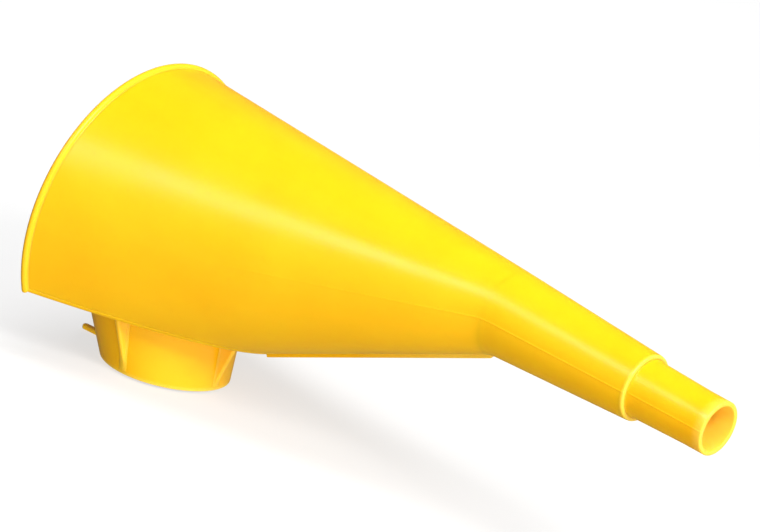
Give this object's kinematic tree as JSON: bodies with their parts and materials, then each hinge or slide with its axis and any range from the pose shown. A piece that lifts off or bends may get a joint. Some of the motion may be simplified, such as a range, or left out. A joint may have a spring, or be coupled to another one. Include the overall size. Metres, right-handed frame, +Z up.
{
  "type": "slip-on can funnel",
  "caption": "Yellow moulded funnel with a wide arched mouth, a flat floor with a collar that slips over a fuel can's neck, and a long stepped outlet spout.",
  "frame": {"origin": "centre of the can collar's bottom rim, on the collar's axis", "axes": "+Z up along the can collar's axis, +X from the open mouth towards the outlet, the part mirrored about the XZ plane"},
  "size_m": [0.3453, 0.1434, 0.1335],
  "materials": {
    "yellow_polyethylene": "satin moulded polyethylene, slightly translucent, with a fine uneven surface"
  },
  "bodies": {
    "root": {"cone_shell": "yellow_polyethylene", "floor_plate": "yellow_polyethylene", "mouth_rim": "yellow_polyethylene", "keel_rib": "yellow_polyethylene", "can_collar": "yellow_polyethylene", "collar_rib_left": "yellow_polyethylene", "collar_rib_right": "yellow_polyethylene", "collar_rib_front": "yellow_polyethylene", "collar_tongue": "yellow_polyethylene", "spout_tube": "yellow_polyethylene", "spout_shoulder": "yellow_polyethylene", "nozzle_tip": "yellow_polyethylene"}
  },
  "joints": []
}
